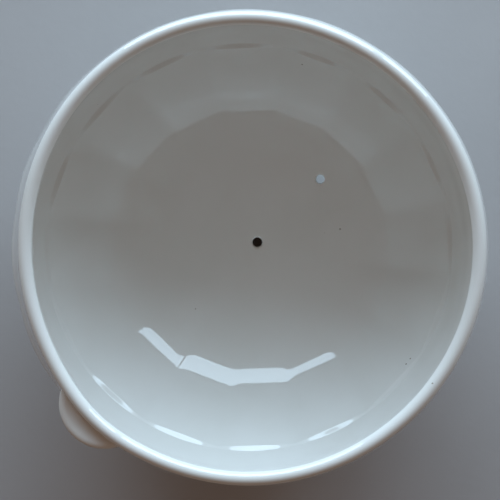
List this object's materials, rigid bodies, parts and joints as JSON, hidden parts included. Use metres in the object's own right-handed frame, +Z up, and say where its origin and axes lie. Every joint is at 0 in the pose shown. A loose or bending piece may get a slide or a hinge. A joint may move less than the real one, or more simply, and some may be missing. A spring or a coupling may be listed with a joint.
{
  "type": "yarn bowl",
  "caption": "Round glazed ceramic yarn bowl with soft lobes round its wall, a rolled lip, a small thumb lug, a foot ring, a drain hole and a yarn hole in its floor.",
  "frame": {"origin": "centre of the foot ring's flat underside, on the table", "axes": "+Z up along the bowl's axis through the drain hole; the yarn hole lies at 45 degrees from +X towards +Y, and the lug at 227 degrees"},
  "size_m": [0.1738, 0.1732, 0.097],
  "materials": {
    "glaze": "clear gloss over an ivory white body",
    "bisque": "wiped foot, bare where it stands"
  },
  "bodies": {
    "root": {"bowl_floor": "glaze", "gadrooned_wall": "glaze", "shoulder": "glaze", "rim_band": "glaze", "foot_ring": "bisque", "thumb_lug": "glaze"}
  },
  "joints": []
}
